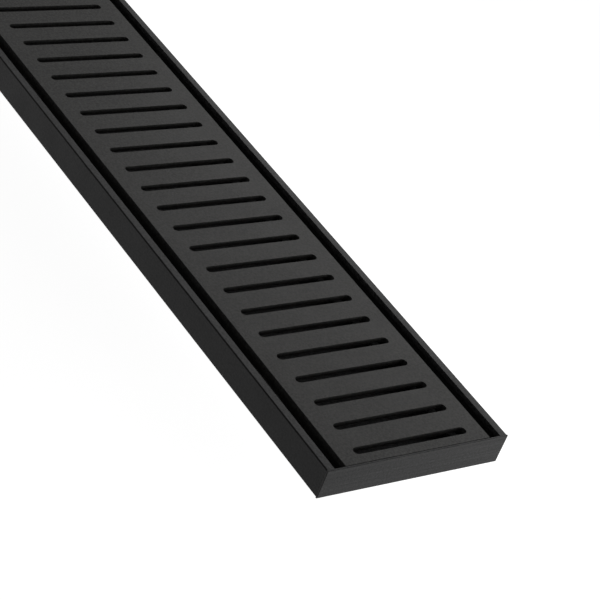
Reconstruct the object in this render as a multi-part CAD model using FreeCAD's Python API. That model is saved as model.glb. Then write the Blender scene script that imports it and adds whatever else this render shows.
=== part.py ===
# Slim channel drain: an extruded channel, a lift-out slotted grate that lies flush between the
# rims, a sheet plate on each end, and a flanged outlet held by a nut under the middle.
# Millimetres. +X runs along the channel, +Z is up, and the origin is the middle of the outlet's
# foot, the lowest face.
import FreeCAD, Part
import math
import os

Vector = FreeCAD.Vector
UP = Vector(0, 0, 1)

# Whole drain
LENGTH = 800.0               # over both end plates
WIDTH = 100.0
CHANNEL_HEIGHT = 15.4        # underside of the floor to the top of the rims
EDGE_BREAK = 0.5             # chamfer on the long outer edges

# Channel extrusion
FLOOR = 2.0
WALL = 2.0
RIM_WIDTH = 4.0
RIM_DEPTH = 2.6
RIM_TAPER = 2.0              # height over which the rim narrows to the wall
RIB_WIDTH = 1.2
RIB_HEIGHT = 1.0

# End plates
PLATE_THICK = 0.8
PLATE_EDGE_BREAK = 0.2
TAB_LENGTH = 6.0

# Grate extrusion
SIDE_GAP = 5.7               # open gap between a rim and the grate
GRATE_THICK = 2.5
GRATE_EDGE_BREAK = 0.3
LEG_THICK = 2.0
LEG_INSET = 2.0              # edge of the grate to the outer face of a leg
SLOT_LENGTH = 62.2
SLOT_WIDTH = 4.2
SLOT_PITCH = 15.37
SLOT_END_MARGIN = 2.0        # least metal between the last slot and the end of the grate

# Rubber clips under the legs
PAD_SEAT = 4.2               # lifts the legs off the floor, so water crosses from the side gaps
PAD_WALL = 1.2
PAD_LENGTH = 20.0
PAD_HEIGHT = 6.8
PAD_END_INSET = 60.0         # end of a leg to the middle of its first clip
PADS_PER_LEG = 4

# Outlet: a waste dropped through the floor, with a washer and a nut below
TAIL_RADIUS = 25.0
TAIL_WALL = 2.5
TAIL_LENGTH = 45.0           # foot to the underside of the channel
TAIL_LEAD_IN = 1.5
TAIL_SOCKET_LENGTH = 30.0    # plain part of the tail that a pipe's socket takes
THREAD_RADIUS = 26.5         # wider part above it, which the nut runs on
FLANGE_RADIUS = 32.0
FLANGE_THICK = 2.0
WASHER_RADIUS = 35.0
WASHER_THICK = 2.0
NUT_SIDES = 8
NUT_THICK = 10.0

# Hair strainer: a perforated disc let into the flange
STRAINER_SHEET = 0.8
STRAINER_LEDGE = 3.5         # how far its edge rests on the flange, past the throat
STRAINER_HOLE_WIDTH = 5.0    # across the flats of each six-sided hole
STRAINER_HOLE_PITCH = 8.0
STRAINER_HOLE_SIDES = 6
STRAINER_RINGS = 2

# Clearances
GRATE_END_GAP = 0.3
RIB_CLEARANCE = 0.4
TAB_CLEARANCE = 0.2
STRAINER_CLEARANCE = 0.5
FLOOR_HOLE_CLEARANCE = 0.3

# Levels and places that follow from the sizes above
CHANNEL_BASE = TAIL_LENGTH
FLOOR_TOP = CHANNEL_BASE + FLOOR
TOP = CHANNEL_BASE + CHANNEL_HEIGHT
HALF_WIDTH = WIDTH / 2
CHANNEL_LENGTH = LENGTH - 2 * PLATE_THICK
GRATE_LENGTH = CHANNEL_LENGTH - 2 * GRATE_END_GAP
GRATE_HALF_WIDTH = HALF_WIDTH - RIM_WIDTH - SIDE_GAP
LEG_MIDDLE = GRATE_HALF_WIDTH - LEG_INSET - LEG_THICK / 2
RIB_OFFSET = LEG_THICK / 2 + PAD_WALL + RIB_CLEARANCE
THROAT_RADIUS = TAIL_RADIUS - TAIL_WALL
FLANGE_TOP = FLOOR_TOP + FLANGE_THICK
STRAINER_RADIUS = THROAT_RADIUS + STRAINER_LEDGE
STRAINER_SEAT = FLANGE_TOP - STRAINER_SHEET


def extrude_section(outline, length):
    """Run a closed outline of (y, z) points along X, centred on the middle of the drain."""
    start = -length / 2
    corners = [Vector(start, y, z) for y, z in outline]
    face = Part.Face(Part.makePolygon(corners + corners[:1]))
    return face.extrude(Vector(length, 0, 0))


def mirrored(half):
    """Close an outline that is given for y above 0, from its low middle to its high middle."""
    other = [(-y, z) for y, z in reversed(half) if y > 0]
    return half + other


def revolve_outline(outline):
    """Turn a closed outline of (radius, z) points about the vertical axis."""
    corners = [Vector(radius, 0, z) for radius, z in outline]
    face = Part.Face(Part.makePolygon(corners + corners[:1]))
    return face.revolve(Vector(0, 0, 0), UP, 360)


def many_sided(sides, across_flats, low, high, x=0.0, y=0.0):
    """An upright prism with equal sides."""
    corner = across_flats / 2 / math.cos(math.pi / sides)
    turns = [2 * math.pi * (index + 0.5) / sides for index in range(sides)]
    corners = [Vector(x + corner * math.cos(turn), y + corner * math.sin(turn), low) for turn in turns]
    return Part.Face(Part.makePolygon(corners + corners[:1])).extrude(UP * (high - low))


def channel_half_outline():
    """Right half of the channel's section: floor, two locating ribs, wall and rim."""
    inner_wall = HALF_WIDTH - WALL
    rim_inner = HALF_WIDTH - RIM_WIDTH
    rib_top = FLOOR_TOP + RIB_HEIGHT
    inner_rib = LEG_MIDDLE - RIB_OFFSET
    outer_rib = LEG_MIDDLE + RIB_OFFSET
    return [
        (0, CHANNEL_BASE),
        (HALF_WIDTH - EDGE_BREAK, CHANNEL_BASE),
        (HALF_WIDTH, CHANNEL_BASE + EDGE_BREAK),
        (HALF_WIDTH, TOP - EDGE_BREAK),
        (HALF_WIDTH - EDGE_BREAK, TOP),
        (rim_inner, TOP),
        (rim_inner, TOP - RIM_DEPTH),
        (inner_wall, TOP - RIM_DEPTH - RIM_TAPER),
        (inner_wall, FLOOR_TOP),
        (outer_rib + RIB_WIDTH, FLOOR_TOP),
        (outer_rib + RIB_WIDTH, rib_top),
        (outer_rib, rib_top),
        (outer_rib, FLOOR_TOP),
        (inner_rib, FLOOR_TOP),
        (inner_rib, rib_top),
        (inner_rib - RIB_WIDTH, rib_top),
        (inner_rib - RIB_WIDTH, FLOOR_TOP),
        (0, FLOOR_TOP),
    ]


def make_channel():
    body = extrude_section(mirrored(channel_half_outline()), CHANNEL_LENGTH)
    hole_radius = THREAD_RADIUS + FLOOR_HOLE_CLEARANCE
    return body.cut(Part.makeCylinder(hole_radius, FLOOR, Vector(0, 0, CHANNEL_BASE)))


def grate_half_outline():
    """Right half of the grate's section: a flat cover with a leg near each edge."""
    under = TOP - GRATE_THICK
    foot = FLOOR_TOP + PAD_SEAT
    leg_outer = LEG_MIDDLE + LEG_THICK / 2
    leg_inner = LEG_MIDDLE - LEG_THICK / 2
    return [
        (0, under),
        (leg_inner, under),
        (leg_inner, foot),
        (leg_outer, foot),
        (leg_outer, under),
        (GRATE_HALF_WIDTH, under),
        (GRATE_HALF_WIDTH, TOP - GRATE_EDGE_BREAK),
        (GRATE_HALF_WIDTH - GRATE_EDGE_BREAK, TOP),
        (0, TOP),
    ]


def slot_places():
    """Evenly spaced slots, centred on the grate, as many as leave an end margin."""
    room = GRATE_LENGTH - SLOT_WIDTH - 2 * SLOT_END_MARGIN
    steps = math.floor(room / SLOT_PITCH)
    return [(index - steps / 2) * SLOT_PITCH for index in range(steps + 1)]


def make_slot(x):
    """Tool for one slot across the grate, with full-round ends."""
    low = TOP - GRATE_THICK
    radius = SLOT_WIDTH / 2
    reach = SLOT_LENGTH / 2 - radius
    corners = [Vector(x - radius, -reach, low), Vector(x + radius, -reach, low),
               Vector(x + radius, reach, low), Vector(x - radius, reach, low)]
    near_arc = Part.Arc(corners[0], Vector(x, -reach - radius, low), corners[1]).toShape()
    far_arc = Part.Arc(corners[2], Vector(x, reach + radius, low), corners[3]).toShape()
    sides = [Part.makeLine(corners[1], corners[2]), Part.makeLine(corners[3], corners[0])]
    outline = Part.Wire([near_arc, sides[0], far_arc, sides[1]])
    return Part.Face(outline).extrude(UP * GRATE_THICK)


def pad_places():
    """Evenly spaced places of the clips along a leg."""
    reach = GRATE_LENGTH - 2 * PAD_END_INSET
    return [(index / (PADS_PER_LEG - 1) - 0.5) * reach for index in range(PADS_PER_LEG)]


def make_grate():
    body = extrude_section(mirrored(grate_half_outline()), GRATE_LENGTH)
    return body.cut(Part.makeCompound([make_slot(x) for x in slot_places()]))


def make_pad(x, side):
    """Rubber clip round the lower edge of a leg, standing on the channel's floor."""
    inner = LEG_THICK / 2
    outer = inner + PAD_WALL
    seat = FLOOR_TOP + PAD_SEAT
    crown = FLOOR_TOP + PAD_HEIGHT
    section = [(-outer, FLOOR_TOP), (outer, FLOOR_TOP), (outer, crown), (inner, crown),
               (inner, seat), (-inner, seat), (-inner, crown), (-outer, crown)]
    clip = extrude_section(section, PAD_LENGTH)
    clip.translate(Vector(x, side * LEG_MIDDLE, 0))
    return clip


def make_end_plate(side):
    """Sheet plate across one end, with a tab folded onto the channel's floor in each side gap."""
    face = side * LENGTH / 2
    back = side * CHANNEL_LENGTH / 2
    plate = Part.makeBox(PLATE_THICK, WIDTH, CHANNEL_HEIGHT,
                         Vector(min(face, back), -HALF_WIDTH, CHANNEL_BASE))
    outer_edges = [edge for edge in plate.Edges
                   if all(abs(corner.X - face) < PLATE_THICK / 2 for corner in edge.Vertexes)]
    plate = plate.makeChamfer(PLATE_EDGE_BREAK, outer_edges)
    tab_outer = HALF_WIDTH - WALL - TAB_CLEARANCE
    tab_inner = LEG_MIDDLE + RIB_OFFSET + RIB_WIDTH + TAB_CLEARANCE
    tip = back - side * TAB_LENGTH
    tabs = [Part.makeBox(TAB_LENGTH, tab_outer - tab_inner, PLATE_THICK,
                         Vector(min(back, tip), low_y, FLOOR_TOP))
            for low_y in (tab_inner, -tab_outer)]
    return plate.fuse(tabs).removeSplitter()


def make_outlet_spigot():
    """Flange and pipe tail turned as one piece, with a recess that the strainer lies in."""
    recess = STRAINER_RADIUS + STRAINER_CLEARANCE
    return revolve_outline([
        (THROAT_RADIUS, 0), (TAIL_RADIUS - TAIL_LEAD_IN, 0), (TAIL_RADIUS, TAIL_LEAD_IN),
        (TAIL_RADIUS, TAIL_SOCKET_LENGTH), (THREAD_RADIUS, TAIL_SOCKET_LENGTH),
        (THREAD_RADIUS, FLOOR_TOP), (FLANGE_RADIUS, FLOOR_TOP),
        (FLANGE_RADIUS, FLANGE_TOP), (recess, FLANGE_TOP), (recess, STRAINER_SEAT),
        (THROAT_RADIUS, STRAINER_SEAT)])


def make_outlet_washer():
    low = CHANNEL_BASE - WASHER_THICK
    return revolve_outline([(THREAD_RADIUS, low), (WASHER_RADIUS, low),
                            (WASHER_RADIUS, CHANNEL_BASE), (THREAD_RADIUS, CHANNEL_BASE)])


def make_back_nut():
    """Nut as wide as its washer, which draws the flange down on the channel's floor."""
    high = CHANNEL_BASE - WASHER_THICK
    low = high - NUT_THICK
    body = many_sided(NUT_SIDES, 2 * WASHER_RADIUS, low, high)
    return body.cut(Part.makeCylinder(THREAD_RADIUS, NUT_THICK, Vector(0, 0, low)))


def strainer_hole_places():
    """The middle of the strainer, then rings of places about it."""
    places = [(0.0, 0.0)]
    for ring in range(1, STRAINER_RINGS + 1):
        count = STRAINER_HOLE_SIDES * ring
        turns = [2 * math.pi * index / count for index in range(count)]
        reach = ring * STRAINER_HOLE_PITCH
        places += [(reach * math.cos(turn), reach * math.sin(turn)) for turn in turns]
    return places


def make_hair_strainer():
    """Perforated disc that lies on the ledge round the throat, level with the flange."""
    disc = Part.makeCylinder(STRAINER_RADIUS, STRAINER_SHEET, Vector(0, 0, STRAINER_SEAT))
    holes = [many_sided(STRAINER_HOLE_SIDES, STRAINER_HOLE_WIDTH, STRAINER_SEAT, FLANGE_TOP, x, y)
             for x, y in strainer_hole_places()]
    return disc.cut(Part.makeCompound(holes))


def grate_pads():
    """The clips of both legs, as nodes grate_pad_1 and on."""
    places = [(x, side) for side in (-1, 1) for x in pad_places()]
    return {f"grate_pad_{index}": make_pad(x, side) for index, (x, side) in enumerate(places, 1)}


def main():
    pieces = {
        "channel": make_channel(),
        "slotted_grate": make_grate(),
        "end_plate_left": make_end_plate(-1),
        "end_plate_right": make_end_plate(1),
        "outlet_spigot": make_outlet_spigot(),
        "outlet_washer": make_outlet_washer(),
        "back_nut": make_back_nut(),
        "hair_strainer": make_hair_strainer(),
    }
    pieces.update(grate_pads())
    os.makedirs("parts", exist_ok=True)
    for name, shape in pieces.items():
        shape.exportStep(f"parts/{name}.step")
        print(f"{name}: {len(shape.Solids)} solid(s), {shape.Volume / 1000:.2f} cm3,"
              f" valid {shape.isValid()}")


main()
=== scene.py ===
# %% [markdown]
# # A black channel drain, one finish at a time
#
# The drain is a long shallow metal channel with a slotted cover lying in it, a thin sheet plate
# on each end, and a plastic waste held by a nut under its middle. The solids come ready made
# and in their true places, so this lesson is about the rest: the satin black coat, the moulded
# plastic, the rubber and the steel, all built from noise and simple arithmetic; the softness
# that real edges have; and two small moulded details, the thread on the tail and the grips on
# the nut.
#
# Everything is in metres, as Blender wants it, and one small constant turns the millimetres
# that a maker thinks in into metres. X runs along the channel, Y across it, and Z is up.

# %% Load the solids
import math

import bmesh
import bpy
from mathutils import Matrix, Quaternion, Vector


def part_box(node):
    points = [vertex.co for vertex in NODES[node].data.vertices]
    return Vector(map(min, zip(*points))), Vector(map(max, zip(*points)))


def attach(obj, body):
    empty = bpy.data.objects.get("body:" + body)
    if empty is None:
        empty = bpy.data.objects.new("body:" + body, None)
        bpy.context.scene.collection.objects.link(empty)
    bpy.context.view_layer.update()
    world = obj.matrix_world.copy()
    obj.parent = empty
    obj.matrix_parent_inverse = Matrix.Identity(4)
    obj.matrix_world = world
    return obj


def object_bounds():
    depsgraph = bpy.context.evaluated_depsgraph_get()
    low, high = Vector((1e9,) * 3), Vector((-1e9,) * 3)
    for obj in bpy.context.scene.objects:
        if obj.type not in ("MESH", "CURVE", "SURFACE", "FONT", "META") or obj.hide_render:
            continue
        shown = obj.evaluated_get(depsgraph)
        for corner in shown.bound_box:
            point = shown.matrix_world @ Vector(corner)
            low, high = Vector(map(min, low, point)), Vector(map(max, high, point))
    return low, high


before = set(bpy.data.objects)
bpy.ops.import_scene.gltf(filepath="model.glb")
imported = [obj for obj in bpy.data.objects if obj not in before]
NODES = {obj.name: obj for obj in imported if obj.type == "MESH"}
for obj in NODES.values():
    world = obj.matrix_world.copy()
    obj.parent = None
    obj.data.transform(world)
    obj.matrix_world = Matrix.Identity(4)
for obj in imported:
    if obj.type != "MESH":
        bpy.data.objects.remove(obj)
solid_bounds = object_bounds()
MM = 0.001
print("solids:", ", ".join(sorted(NODES)))
print("size in mm:", [round((high - low) / MM, 1) for low, high in zip(*solid_bounds)])

# %% [markdown]
# ## Measures taken from the solids
#
# The corners of a few solids say where the rims, the end plate and the nut are. The pieces
# added below, the lamps and the camera are all placed from those values, so that they stay
# where they belong on the drain.

# %% Places and sizes
channel_low, channel_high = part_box("channel")
plate_low, plate_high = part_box("end_plate_right")
nut_low, nut_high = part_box("back_nut")
plate_top = Vector((plate_high.x, 0, plate_high.z))
print("channel in mm:", [round(side / MM, 1) for side in channel_high - channel_low])
print("end plate in mm:", [round(side / MM, 1) for side in plate_high - plate_low])

# %% [markdown]
# ## The camera
#
# A long lens from well back keeps the channel's edges nearly parallel, as in a catalogue
# picture. The camera looks at a point on the cover, and three angles say from where: the
# azimuth round the drain, the elevation above it, and a roll about the line of sight, which
# stands the drain on a slant. Working from angles and a distance is easier to reason about
# than typing a place and a rotation.

# %% Camera
LENS = 127.4
VIEW_AZIMUTH = 44.25
VIEW_ELEVATION = 33.53
VIEW_ROLL = 21.72
VIEW_DISTANCE = 959.9 * MM
AIM_FROM_END = 103.2 * MM
AIM_ASIDE = 3.4 * MM


def direction(azimuth, elevation):
    """Unit vector from the drain towards a viewer or a lamp, from two angles in degrees."""
    turn, rise = math.radians(azimuth), math.radians(elevation)
    level_share = math.cos(rise)
    return Vector((math.sin(turn) * level_share, -math.cos(turn) * level_share, math.sin(rise)))


camera = bpy.data.objects.new("camera", bpy.data.cameras.new("camera"))
bpy.context.scene.collection.objects.link(camera)
bpy.context.scene.camera = camera
camera.data.lens = LENS
back = direction(VIEW_AZIMUTH, VIEW_ELEVATION)
aim = Vector((plate_high.x - AIM_FROM_END, AIM_ASIDE, plate_high.z))
camera.location = aim + back * VIEW_DISTANCE
level = (-back).to_track_quat("-Z", "Y")
camera.rotation_mode = "QUATERNION"
camera.rotation_quaternion = level @ Quaternion((0, 0, 1), math.radians(VIEW_ROLL))
print("camera stands at", [round(value, 3) for value in camera.location])

# %% [markdown]
# ## A short way to wire nodes
#
# A procedural material is a small circuit. Written out node by node it fills a page, so a
# class keeps the circuit's tree and gives one short call for each kind of part. The world's
# light is a circuit too, so the class knows nothing of materials yet.
#
# Its most used part is the spread. A noise hovers round a half and seldom leaves the range
# from 0.3 to 0.7, so the spread takes that range and stretches it over the one that is wanted.
# A mask already fills the range from 0 to 1, and for that there is a plain blend.

# %% Circuit
class Circuit:
    """A node tree, with short calls that add parts to it and wire them."""

    def __init__(self, tree):
        self.tree = tree

    def add(self, kind, **settings):
        node = self.tree.nodes.new(kind)
        for key, value in settings.items():
            setattr(node, key, value)
        return node

    def wire(self, source, socket):
        """Link an output to an input, or store a plain value in it."""
        if isinstance(source, bpy.types.NodeSocket):
            self.tree.links.new(source, socket)
        else:
            socket.default_value = source

    def maths(self, operation, first, second=0.0):
        node = self.add("ShaderNodeMath", operation=operation)
        self.wire(first, node.inputs[0])
        self.wire(second, node.inputs[1])
        return node.outputs["Value"]

    def together(self, operation, first, *others):
        """Work through several values with one operation, such as the product of them all."""
        for other in others:
            first = self.maths(operation, first, other)
        return first

    def spread(self, value, low, high, start=0.3, end=0.7):
        """Stretch a value's range from start to end over the range from low to high."""
        node = self.add("ShaderNodeMapRange")
        names = ("From Min", "From Max", "To Min", "To Max")
        for name, number in zip(names, (start, end, low, high)):
            node.inputs[name].default_value = number
        self.wire(value, node.inputs["Value"])
        return node.outputs["Result"]

    def around(self, value, swing, middle=1.0):
        """Let a pattern swing by as much above the middle as below it."""
        return self.spread(value, middle - swing, middle + swing)

    def blend(self, mask, low, high):
        """From low where the mask is 0 to high where it is 1."""
        return self.spread(mask, low, high, start=0.0, end=1.0)


print("circuit parts:", [name for name in vars(Circuit) if not name.startswith("_")])

# %% [markdown]
# ## Materials with patterns
#
# A finish is a circuit that ends in a Principled shader. Every pattern in it is fed from
# object coordinates. The solids sit at the origin with their place in their mesh, so those
# coordinates are plain metres in the drain's own frame, and a scale of 1000 means about one
# feature to a millimetre. Two things come out of the patterns: a tint, which makes the base
# colour lighter and darker, and a relief, which is bump of a real depth.

# %% Finish
class Finish(Circuit):
    """A new material with a Principled shader, fed by patterns in object coordinates."""

    def __init__(self, name, colour, roughness, metallic=0.0, specular=0.5):
        self.material = bpy.data.materials.new(name)
        self.material.use_nodes = True
        super().__init__(self.material.node_tree)
        self.shader = self.tree.nodes["Principled BSDF"]
        self.shader.inputs["Base Color"].default_value = (*colour, 1)
        self.shader.inputs["Roughness"].default_value = roughness
        self.shader.inputs["Metallic"].default_value = metallic
        self.shader.inputs["Specular IOR Level"].default_value = specular
        self.colour = colour
        self.place = self.add("ShaderNodeTexCoord").outputs["Object"]

    def noise(self, scale, detail=3.0, place=None):
        node = self.add("ShaderNodeTexNoise")
        self.wire(place or self.place, node.inputs["Vector"])
        node.inputs["Scale"].default_value = scale
        node.inputs["Detail"].default_value = detail
        return node.outputs["Fac"]

    def stretched(self, factors):
        """Object coordinates scaled along each axis, which draws a pattern out into lines."""
        node = self.add("ShaderNodeMapping")
        self.wire(self.place, node.inputs["Vector"])
        node.inputs["Scale"].default_value = factors
        return node.outputs["Vector"]

    def facing(self):
        """How squarely the surface faces along X, along Y and along Z, each from 0 to 1."""
        parts = self.add("ShaderNodeSeparateXYZ")
        normal = self.add("ShaderNodeNewGeometry").outputs["True Normal"]
        self.wire(normal, parts.inputs["Vector"])
        return [self.maths("ABSOLUTE", parts.outputs[axis]) for axis in "XYZ"]

    def tint(self, *shades):
        """The base colour multiplied by all the shades, which vary over the surface."""
        node = self.add("ShaderNodeVectorMath", operation="SCALE")
        node.inputs[0].default_value = self.colour
        self.wire(self.together("MULTIPLY", *shades), node.inputs["Scale"])
        self.wire(node.outputs["Vector"], self.shader.inputs["Base Color"])

    def relief(self, height, depth, before=None):
        """Bump of the given depth in metres, laid over an earlier bump if there is one."""
        node = self.add("ShaderNodeBump")
        node.inputs["Distance"].default_value = depth
        self.wire(height, node.inputs["Height"])
        if before:
            self.wire(before, node.inputs["Normal"])
        self.wire(node.outputs["Normal"], self.shader.inputs["Normal"])
        return node.outputs["Normal"]


print("a finish adds:", [name for name in vars(Finish) if not name.startswith("_")])

# %% [markdown]
# ## The black coat's patterns
#
# Extruded aluminium is drawn through a die, which leaves faint lines along its length. The
# coat over it is satin, never mirror smooth, and a close look shows a fine powdery grain. The
# finish therefore stacks four patterns:
#
# - a powder grain a little under a millimetre across, the strongest of the four;
# - a speck about nine times finer, which only shows close up;
# - a slow mottle a centimetre or two wide, where the coat was laid on thicker or thinner;
# - lines, made by leaving a noise as it is across them and drawing it out along them.
#
# All of them move the colour, the grain and the mottle also move the roughness, and the grain,
# the specks and the lines lift the surface by a few hundredths of a millimetre or less.

# %% Coat patterns
COAT = (0.0268, 0.0268, 0.0270)
COVER_COAT = (0.0270, 0.0267, 0.0256)    # another batch of powder, a little warmer
COAT_ROUGHNESS = 0.50
COAT_SPECULAR = 0.10
GRAIN_SCALE, GRAIN_SWING, GRAIN_DEPTH = 1050.0, 0.70, 0.03 * MM
SPECK_SCALE, SPECK_SWING, SPECK_DEPTH = 9000.0, 0.06, 0.004 * MM
MOTTLE_SCALE, MOTTLE_SWING = 60.0, 0.05
GRAIN_GLOSS = 0.05           # swing of the roughness with the grain
MOTTLE_GLOSS = 0.03          # and with the mottle
LINE_SCALE, LINE_SWING, LINE_DEPTH = 900.0, 0.06, 0.012 * MM
LINES_ALONG_X = (0.012, 1.0, 1.0)
LINES_ALONG_Y = (1.0, 0.012, 1.0)
print("features of the grain in mm:", round(1 / GRAIN_SCALE / MM, 2))
print("features of the speck in mm:", round(1 / SPECK_SCALE / MM, 2))
print("features of the mottle in mm:", round(1 / MOTTLE_SCALE / MM, 1))

# %% [markdown]
# ## Painted shade, and where the coat is thin
#
# The coat is not the same everywhere. A broken edge is ground back and stays matt, and painted
# shade darkens it, which draws a thin dark line along every corner. Three numbers say how
# squarely a surface faces along X, Y and Z. The section is square, so where even the largest of
# them is small, the surface is such an edge.
#
# The same numbers tell the faces apart. The slots' walls, which face along X, get painted shade
# and stay darker than the cover's face. The channel's side walls, which face along Y, get
# painted shade a little darker than its rims. The sawn edges of the end plates face along Y
# too, and go the other way: the coat is thin on them and the grey metal shows through.

# %% Coat shades
EDGE_PAINTED_SHADE = 0.30            # painted shade: brightness of a broken edge beside that of a face
COVER_EDGE_PAINTED_SHADE = 0.12      # painted shade on the punched edges, darker still
PLATE_EDGE_PAINTED_SHADE = 0.80      # weaker painted shade on the thin plates' edges
SLOT_WALL_PAINTED_SHADE = 0.45       # painted shade: brightness of a slot's wall beside that of the cover's face
SIDE_WALL_PAINTED_SHADE = 0.87       # and painted shade on the channel's side walls beside its rims
SAWN_EDGE_SHADE = 1.9        # and of the plates' sawn edges, where metal shows through
EDGE_TURN = 0.12             # how far from square a surface is before it counts as an edge
EDGE_GLOSS = 0.3             # how much rougher an edge is than a face
SQUARE_FROM, SQUARE_AT = 0.9, 0.99       # facing along an axis: nearly square, and square
edge_angle = math.degrees(math.acos(1 - EDGE_TURN / 2))
print("a surface starts to darken as an edge", round(edge_angle), "degrees off square")

# %% [markdown]
# ## The coat itself
#
# One function builds the coat for the channel, the cover and the plates. They differ in which
# way the metal's lines run and how strong they are, a little in colour and grain, and in the
# painted shade on edges and walls and the bare metal on sawn edges, so those are what the
# function asks for. The channel needs least of all: its coat is the plain one, with lines along
# its length and painted shade on its side walls.

# %% Coated metal
def coated_metal(name, lines=LINES_ALONG_X, line_swing=LINE_SWING, line_depth=LINE_DEPTH,
                 colour=COAT, grain_swing=GRAIN_SWING, edge_painted_shade=EDGE_PAINTED_SHADE,
                 side_painted_shade_and_bare_metal=1.0, wall_painted_shade=1.0):
    """Satin black coat over metal with fine drawn lines, and painted shade on edges and walls."""
    finish = Finish(name, colour, COAT_ROUGHNESS, specular=COAT_SPECULAR)
    grain = finish.noise(GRAIN_SCALE, detail=2.0)
    speck = finish.noise(SPECK_SCALE, detail=2.0)
    mottle = finish.noise(MOTTLE_SCALE, detail=4.0)
    drawn = finish.noise(LINE_SCALE, detail=2.0, place=finish.stretched(lines))
    along_x, along_y, along_z = finish.facing()
    squarest = finish.together("MAXIMUM", along_x, along_y, along_z)
    edge = finish.spread(squarest, 1.0, 0.0, start=1 - 2 * EDGE_TURN, end=1 - EDGE_TURN / 2)
    # painted shade darkens the edges, the slot walls and the channel's side walls; the plates'
    # sawn edges turn lighter
    finish.tint(finish.around(grain, grain_swing),
                finish.around(mottle, MOTTLE_SWING),
                finish.around(speck, SPECK_SWING),
                finish.around(drawn, line_swing),
                finish.blend(edge, 1.0, edge_painted_shade),
                finish.spread(along_x, 1.0, wall_painted_shade, SQUARE_FROM, SQUARE_AT),
                finish.spread(along_y, 1.0, side_painted_shade_and_bare_metal, SQUARE_FROM, SQUARE_AT))
    rough = finish.together("ADD", finish.around(grain, GRAIN_GLOSS, middle=0.0),
                            finish.around(mottle, MOTTLE_GLOSS, middle=COAT_ROUGHNESS),
                            finish.blend(edge, 0.0, EDGE_GLOSS))
    finish.wire(rough, finish.shader.inputs["Roughness"])
    powder_bump = finish.relief(grain, GRAIN_DEPTH)
    speck_bump = finish.relief(speck, SPECK_DEPTH, before=powder_bump)
    finish.relief(drawn, line_depth, before=speck_bump)
    return finish


channel_coat = coated_metal("channel_coat", side_painted_shade_and_bare_metal=SIDE_WALL_PAINTED_SHADE)
print("channel coat has", len(channel_coat.tree.nodes), "nodes")

# %% [markdown]
# ## The cover's and the plates' coats
#
# The cover is brushed across before it is punched, which leaves shorter and slightly stronger
# lines from rim to rim, and its punched edges get the darkest painted shade of all. The end
# plates are cut from rolled sheet. Its lines run across the drain too, and they are deeper than
# those of an extrusion, so they show more under the coat, while the grain shows a little less.

# %% Cover and plate coats
BRUSHED_ACROSS = (1.0, 0.03, 1.0)
BRUSHED_SWING = 0.10
SHEET_SWING, SHEET_DEPTH = 0.24, 0.03 * MM
SHEET_GRAIN_SWING = 0.45

cover_coat = coated_metal("cover_coat", lines=BRUSHED_ACROSS, line_swing=BRUSHED_SWING,
                          colour=COVER_COAT, edge_painted_shade=COVER_EDGE_PAINTED_SHADE,
                          wall_painted_shade=SLOT_WALL_PAINTED_SHADE)
plate_coat = coated_metal("plate_coat", lines=LINES_ALONG_Y, line_swing=SHEET_SWING,
                          line_depth=SHEET_DEPTH, grain_swing=SHEET_GRAIN_SWING,
                          edge_painted_shade=PLATE_EDGE_PAINTED_SHADE, side_painted_shade_and_bare_metal=SAWN_EDGE_SHADE)
print("lines on the cover are about", round(1 / BRUSHED_ACROSS[1] / LINE_SCALE / MM), "mm long")
print("lines on the plates are about", round(1 / LINES_ALONG_Y[1] / LINE_SCALE / MM), "mm long")

# %% [markdown]
# ## Moulded plastic and rubber
#
# The waste and its nut are moulded in a black plastic. A mould's walls are lightly sparked, so
# the plastic comes out with a fine even pebble, and where it flowed there is a slow change of
# gloss. Rubber is rougher, a little darker and has almost no highlight. One function serves
# both, because only the colour, the gloss and the pebble differ.

# %% Plastic and rubber
FLOW_SCALE, FLOW_SWING = 45.0, 0.07
FLOW_GLOSS = 0.05            # swing of the roughness with the flow
PEBBLE_SWING = 0.1


def moulded(name, colour, roughness, pebble_scale, pebble_depth, specular):
    """Plastic or rubber as it leaves the mould. The scale says how many pebbles to a metre."""
    finish = Finish(name, colour, roughness, specular=specular)
    pebble = finish.noise(pebble_scale)
    flow = finish.noise(FLOW_SCALE)
    finish.tint(finish.around(pebble, PEBBLE_SWING), finish.around(flow, FLOW_SWING))
    gloss = finish.around(flow, FLOW_GLOSS, middle=roughness)
    finish.wire(gloss, finish.shader.inputs["Roughness"])
    finish.relief(pebble, pebble_depth)
    return finish


waste_plastic = moulded("waste_plastic", colour=(0.030, 0.030, 0.032), roughness=0.42,
                        pebble_scale=1400.0, pebble_depth=0.03 * MM, specular=0.3)
nut_plastic = moulded("nut_plastic", colour=(0.036, 0.036, 0.038), roughness=0.5,
                      pebble_scale=1100.0, pebble_depth=0.04 * MM, specular=0.3)
washer_rubber = moulded("washer_rubber", colour=(0.020, 0.020, 0.020), roughness=0.8,
                        pebble_scale=1700.0, pebble_depth=0.03 * MM, specular=0.2)
clip_rubber = moulded("clip_rubber", colour=(0.026, 0.026, 0.026), roughness=0.75,
                      pebble_scale=1900.0, pebble_depth=0.02 * MM, specular=0.2)
print("each moulded finish has", len(waste_plastic.tree.nodes), "nodes")

# %% [markdown]
# ## Punched stainless steel
#
# The strainer is a flat disc punched from thin stainless sheet. Sheet comes from the mill with
# a straight brushed grain, which punching leaves in place, so the grain runs one way across the
# whole disc and not round it. A waste is a wet place, so the steel is a dull grey and never a
# mirror. Metal has no colour of its own below the surface: the Metallic input is 1 and the
# grain shows as roughness and as very shallow lines.

# %% Brushed steel
STEEL = (0.36, 0.36, 0.355)
STEEL_ROUGHNESS = 0.42
BRUSH_SCALE = 1500.0
BRUSHED_ALONG_X = (0.02, 1.0, 1.0)
BRUSH_SHADES = (0.88, 1.08)  # brightness in the bottom of a scratch and beside it
BRUSH_GLOSS = (0.34, 0.52)   # and the roughness in those two places
BRUSH_DEPTH = 0.006 * MM
CLOUD_SCALE, CLOUD_SWING = 90.0, 0.04


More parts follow.
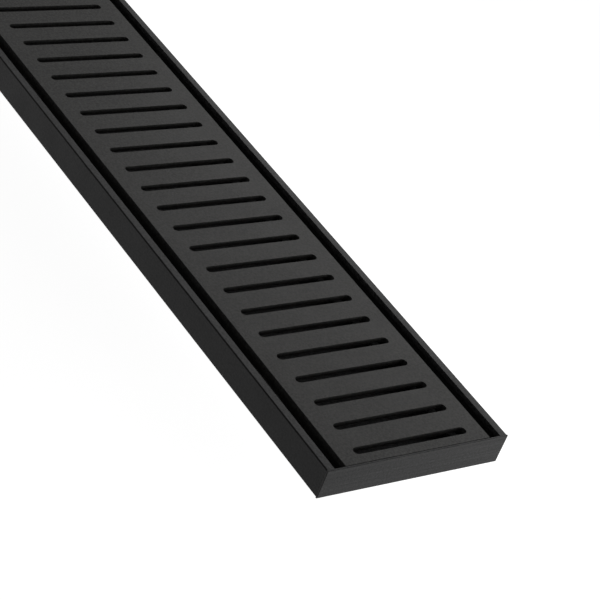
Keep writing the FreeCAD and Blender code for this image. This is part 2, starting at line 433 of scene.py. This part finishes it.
def brushed_steel(name):
    """Dull stainless steel with a straight brushed grain along X."""
    finish = Finish(name, STEEL, STEEL_ROUGHNESS, metallic=1.0)
    brushed = finish.noise(BRUSH_SCALE, place=finish.stretched(BRUSHED_ALONG_X))
    cloud = finish.noise(CLOUD_SCALE)
    finish.tint(finish.spread(brushed, *BRUSH_SHADES), finish.around(cloud, CLOUD_SWING))
    finish.wire(finish.spread(brushed, *BRUSH_GLOSS), finish.shader.inputs["Roughness"])
    finish.relief(brushed, BRUSH_DEPTH)
    return finish


strainer_steel = brushed_steel("strainer_steel")
print("scratches are about", round(1 / BRUSHED_ALONG_X[0] / BRUSH_SCALE / MM), "mm long")

# %% [markdown]
# ## Softening the edges
#
# The solids already have the right form, so they only need a finish and softened edges. No
# real edge is a knife edge: even a sawn plate is wiped with a file, and that thin facet is what
# catches light and makes metal read as metal. The solids come as loose triangles, so a Weld
# first joins their corners, a planar Decimate joins the triangles of each flat face again, and
# a Bevel limited by angle then rounds only the true edges. Without the Weld every edge would be
# an open border, which a Bevel leaves alone. A Weighted Normal comes last: it lets the large
# flat faces set the shading and bends it only over the narrow rounded ones. All four are
# modifiers, so the solid itself is untouched.

# %% Soften
WELD_REACH = 0.001 * MM
FLAT_WITHIN = math.radians(1.0)
EDGE_FROM = math.radians(30.0)
EDGE_STEPS = 2


def soften(piece, width):
    """Round a solid's true edges by a width in metres, and keep its flat faces flat."""
    welded = piece.modifiers.new("join_corners", "WELD")
    welded.merge_threshold = WELD_REACH
    joined = piece.modifiers.new("join_flat_faces", "DECIMATE")
    joined.decimate_type = "DISSOLVE"
    joined.angle_limit = FLAT_WITHIN
    bevel = piece.modifiers.new("soft_edges", "BEVEL")
    bevel.width = width
    bevel.segments = EDGE_STEPS
    bevel.limit_method = "ANGLE"
    bevel.angle_limit = EDGE_FROM
    shading = piece.modifiers.new("keep_faces_flat", "WEIGHTED_NORMAL")
    shading.mode = "FACE_AREA"
    for face in piece.data.polygons:
        face.use_smooth = True


print("edges over", round(math.degrees(EDGE_FROM)), "degrees are rounded in", EDGE_STEPS, "steps")

# %% [markdown]
# ## Dressing the solids
#
# A table says what each solid wears and how far its edges are rounded, in millimetres. The
# thin plates take the least and the moulded nut the most. The rubber clips are all alike, so
# they are added to the table by the start of their names.

# %% Dress
WEAR = {
    "channel": (channel_coat, 0.12),
    "slotted_grate": (cover_coat, 0.2),
    "end_plate_left": (plate_coat, 0.05),
    "end_plate_right": (plate_coat, 0.05),
    "outlet_spigot": (waste_plastic, 0.25),
    "back_nut": (nut_plastic, 0.6),
    "outlet_washer": (washer_rubber, 0.3),
    "hair_strainer": (strainer_steel, 0.15),
}
WEAR.update((name, (clip_rubber, 0.25)) for name in NODES if name.startswith("grate_pad_"))

for name, (finish, rounding) in sorted(WEAR.items()):
    NODES[name].data.materials.clear()
    NODES[name].data.materials.append(finish.material)
    soften(NODES[name], rounding * MM)
print("dressed", len(WEAR), "of", len(NODES), "solids")

# %% [markdown]
# ## Skins made of rows
#
# Two moulded details are too fine for the solids: the thread on the tail and the ribs that a
# hand grips the nut by. Each is a small profile carried along a path, so one helper is enough.
# It takes the profile as a row of points, once for every step of the path, joins each row to
# the next and caps the two ends. A second helper turns the finished mesh into a piece that
# rides with the drain and names the plastic it is moulded in.

# %% Row helpers
def skin(mesh, rows):
    """Join rows of points, one after another, into a skin with both ends capped."""
    loops = [[mesh.verts.new(point) for point in row] for row in rows]
    for near, far in zip(loops, loops[1:]):
        for index, corner in enumerate(near):
            after = (index + 1) % len(near)
            mesh.faces.new((corner, near[after], far[after], far[index]))
    mesh.faces.new(loops[0])
    mesh.faces.new(loops[-1])


def moulding(name, mesh, finish):
    """Make a piece of the mesh, in the given finish and material slot."""
    bmesh.ops.recalc_face_normals(mesh, faces=mesh.faces)
    data = bpy.data.meshes.new(name)
    mesh.to_mesh(data)
    mesh.free()
    data.materials.append(finish.material)
    for face in data.polygons:
        face.use_smooth = True
    piece = bpy.data.objects.new(name, data)
    bpy.context.scene.collection.objects.link(piece)
    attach(piece, "root")
    print(name, "has", len(data.polygons), "faces")


print("the nut is", round((nut_high.z - nut_low.z) / MM, 1), "mm high")

# %% [markdown]
# ## The thread on the tail
#
# The nut runs on a coarse round-topped thread, and one turn of it shows below the nut. The path
# is a helix: at each step the profile turns a little round the tail and lifts a little. Over
# the last eighth of the turn at either end the profile shrinks to almost nothing, because a
# moulded thread fades out and has no square end.

# %% Thread
THREAD_RADIUS = 26.5 * MM    # the wider part of the tail, which the nut runs on
THREAD_LIFT = 0.7 * MM       # how far the ridge stands proud of the tail
THREAD_BASE = 1.5 * MM       # the ridge's width at its root
THREAD_SINK = 0.2 * MM       # how far its root goes into the tail, so that no gap can show
THREAD_START = 2.2 * MM      # below the nut
THREAD_RISE = 1.2 * MM
THREAD_STEPS = 96
THREAD_FADE = 8              # the ridge grows over one part in so many of the turn
THREAD_TIP = 0.05            # its size at the very ends, which keeps the caps from closing up
# The ridge's points, from below to above: how far along its base, and how much of its lift.
THREAD_PROFILE = ((-0.5, None), (-0.27, 0.7), (0.0, 1.0), (0.27, 0.7), (0.5, None))


def thread_row(step):
    """The ridge's profile at one step round the tail. No lift means a point of the root."""
    share = step / THREAD_STEPS
    angle = math.tau * share
    size = max(THREAD_TIP, min(1.0, THREAD_FADE * share, THREAD_FADE * (1 - share)))
    middle = nut_low.z - THREAD_START + THREAD_RISE * share
    row = []
    for along, lift in THREAD_PROFILE:
        radius = THREAD_RADIUS + (-THREAD_SINK if lift is None else lift * THREAD_LIFT * size)
        row.append((radius * math.cos(angle), radius * math.sin(angle),
                    middle + along * THREAD_BASE * size))
    return row


thread = bmesh.new()
skin(thread, [thread_row(step) for step in range(THREAD_STEPS + 1)])
moulding("tail_thread", thread, waste_plastic)

# %% [markdown]
# ## The grips on the nut
#
# The nut is tightened by hand from below, so each of its flats carries a few upright ribs. A rib
# is half round and ends in a dome at top and bottom, which is how it leaves the mould. Its
# profile is a half circle sunk a little into the flat, and the path is a straight line up.

# %% Grips
NUT_SIDES = 8
GRIPS_PER_SIDE = 5
GRIP_PITCH = 4.6 * MM
GRIP_RADIUS = 0.8 * MM
GRIP_SINK = 0.2 * MM
GRIP_MARGIN = 1.4 * MM       # bare height left above and below a rib
GRIP_POINTS = 9
GRIP_DOME = ((0.0, 0.3), (0.25, 0.75), (0.6, 0.95), (1.0, 1.0))   # height and size, in radii


def grip_rows(side, aside):
    """One rib: the number of its flat, and how far along the flat it stands."""
    turn = math.tau * side / NUT_SIDES
    outward = Vector((math.cos(turn), math.sin(turn), 0))
    along = Vector((-math.sin(turn), math.cos(turn), 0))
    low, high = nut_low.z + GRIP_MARGIN, nut_high.z - GRIP_MARGIN
    foot = [(low + rise * GRIP_RADIUS, size) for rise, size in GRIP_DOME]
    head = [(high - rise * GRIP_RADIUS, size) for rise, size in reversed(GRIP_DOME)]
    rows = []
    for height, size in foot + head:
        row = []
        for point in range(GRIP_POINTS):
            angle = math.pi * point / (GRIP_POINTS - 1)
            across = aside + GRIP_RADIUS * size * math.cos(angle)
            reach = nut_high.x + GRIP_RADIUS * size * math.sin(angle) - GRIP_SINK
            row.append(outward * reach + along * across + Vector((0, 0, height)))
        rows.append(row)
    return rows


grips = bmesh.new()
for side in range(NUT_SIDES):
    for place in range(GRIPS_PER_SIDE):
        skin(grips, grip_rows(side, GRIP_PITCH * (place - (GRIPS_PER_SIDE - 1) / 2)))
moulding("nut_grips", grips, nut_plastic)

# %% [markdown]
# ## The floor
#
# The drain stands on its outlet on a plain pale floor. To come out white behind the drain and
# still take its shadow, the floor keeps an ordinary pale colour for light that bounces, and
# rays that come straight from the camera, or by way of a reflection, see a little glow added.
# The patch inside the tail doesn't glow, so that nobody looks down the waste into white light.

# %% Floor
FLOOR_COLOUR = (0.34, 0.34, 0.34)
FLOOR_ROUGHNESS = 0.9
FLOOR_GLOW = 0.92
FLOOR_REACH = 12.0           # from its middle to each side
TAIL_BORE = 23.5 * MM        # a little more than the throat, and less than the tail's outside


def stage_plane(name, half_size, height):
    mesh = bpy.data.meshes.new(name)
    sides = ((-1, -1), (1, -1), (1, 1), (-1, 1))
    corners = [(x * half_size, y * half_size, height) for x, y in sides]
    mesh.from_pydata(corners, [], [(0, 1, 2, 3)])
    plane = bpy.data.objects.new(name, mesh)
    bpy.context.scene.collection.objects.link(plane)
    return plane


def seen_directly(circuit):
    """1 for rays from the camera or through a reflection or glass, and 0 for other light."""
    path = circuit.add("ShaderNodeLightPath")
    rays = ("Is Camera Ray", "Is Glossy Ray", "Is Transmission Ray")
    return circuit.together("MAXIMUM", *(path.outputs[ray] for ray in rays))


floor = stage_plane("floor", FLOOR_REACH, solid_bounds[0].z)
floor_paint = Finish("floor_paint", FLOOR_COLOUR, FLOOR_ROUGHNESS, specular=0.0)
floor_paint.shader.inputs["Emission Color"].default_value = (1, 1, 1, 1)
from_tail = floor_paint.add("ShaderNodeVectorMath", operation="LENGTH")
floor_paint.wire(floor_paint.place, from_tail.inputs[0])
outside = floor_paint.maths("GREATER_THAN", from_tail.outputs["Value"], TAIL_BORE)
glow = floor_paint.together("MULTIPLY", seen_directly(floor_paint), FLOOR_GLOW, outside)
floor_paint.wire(glow, floor_paint.shader.inputs["Emission Strength"])
floor.data.materials.append(floor_paint.material)
print("floor at z =", round(solid_bounds[0].z, 4))

# %% [markdown]
# ## Light
#
# A black thing is drawn by what it reflects as much as by what falls on it, so the lamps are
# large and soft, and each has its own work. The first is a long strip beside the back rim, off
# towards the right-hand end. It makes the cover a shade lighter towards that rim, and leaves
# the front edge breaks dark.
#
# Two helpers make such a lamp. One puts any lamp in the scene and turns it along a direction,
# and the other gives a rectangle its size and its place and aims it at a target.

# %% Back strip
STRIP_MIDDLE = 0.40          # from the drain's middle, so beside its right-hand end
STRIP_ASIDE = 0.20           # from the back rim
STRIP_HEIGHT = 0.16          # above the rims
STRIP_LENGTH, STRIP_WIDTH, STRIP_POWER = 1.1, 0.16, 0.95


def aim_lamp(name, lamp, towards):
    """Put a lamp in the scene, shining along a direction and unseen by the camera."""
    piece = bpy.data.objects.new(name, lamp)
    bpy.context.scene.collection.objects.link(piece)
    piece.rotation_mode = "QUATERNION"
    piece.rotation_quaternion = towards.to_track_quat("-Z", "Y")
    piece.visible_camera = False
    return piece


def strip(name, place, target, length, width, power):
    """A rectangular lamp whose long side runs along X."""
    lamp = bpy.data.lights.new(name, "AREA")
    lamp.shape = "RECTANGLE"
    lamp.size = length
    lamp.size_y = width
    lamp.energy = power
    aim_lamp(name, lamp, target - place).location = place


middle_top = Vector((STRIP_MIDDLE, 0, plate_high.z))
strip_place = middle_top + Vector((0, channel_high.y + STRIP_ASIDE, STRIP_HEIGHT))
strip("back_strip", strip_place, middle_top, STRIP_LENGTH, STRIP_WIDTH, STRIP_POWER)
print("strip hangs at", [round(value, 3) for value in strip_place])

# %% [markdown]
# ## A lamp for the end plate
#
# The plate is flat, and one even tone would make it look like card. A small square lamp near
# its back corner lets it grow lighter from its front corner to its back one. It is the same
# kind of lamp as the strip, only short.

# %% End lamp
END_LAMP_PLACE = Vector((0.16, 0.22, 0.03))      # from the middle of the plate's top edge
END_LAMP_SIZE, END_LAMP_POWER = 0.08, 0.22

strip("end_lamp", plate_top + END_LAMP_PLACE, plate_top,
      END_LAMP_SIZE, END_LAMP_SIZE, END_LAMP_POWER)
print("end lamp is", round(END_LAMP_PLACE.length, 2), "m from the plate")

# %% [markdown]
# ## A low sun
#
# A low soft sun off the right-hand end lights the plate's whole face, but comes in too flat to
# reach far down into the slots, which therefore stay dark. A sun has no place, only a
# direction, and its softness is how wide it looks in the sky, in degrees.

# %% Low sun
LOW_SUN_AZIMUTH, LOW_SUN_ELEVATION = 118.0, 10.0
LOW_SUN_STRENGTH, LOW_SUN_SOFTNESS = 1.30, 16.0


def sun(name, azimuth, elevation, strength, softness):
    lamp = bpy.data.lights.new(name, "SUN")
    lamp.energy = strength
    lamp.angle = math.radians(softness)
    aim_lamp(name, lamp, -direction(azimuth, elevation))


sun("low_sun", LOW_SUN_AZIMUTH, LOW_SUN_ELEVATION, LOW_SUN_STRENGTH, LOW_SUN_SOFTNESS)
print("lamps:", [lamp.name for lamp in bpy.data.lights])

# %% [markdown]
# ## The sky
#
# A weak even sky fills what the lamps leave, and with the floor's bounce it gives the front wall
# its darker tone. Where it is seen it should be white like the floor, so the same mask that
# makes the floor glow raises the sky's strength to 1 for those rays alone.

# %% Sky
SKY_STRENGTH = 0.19

world = bpy.data.worlds.new("sky")
bpy.context.scene.world = world
world.use_nodes = True
sky = Circuit(world.node_tree)
background = world.node_tree.nodes["Background"]
background.inputs["Color"].default_value = (1, 1, 1, 1)
sky.wire(sky.blend(seen_directly(sky), SKY_STRENGTH, 1.0), background.inputs["Strength"])
bpy.context.scene.view_settings.view_transform = "Standard"
print("sky strength on the drain:", SKY_STRENGTH, "and 1 where it is seen")

# %% [markdown]
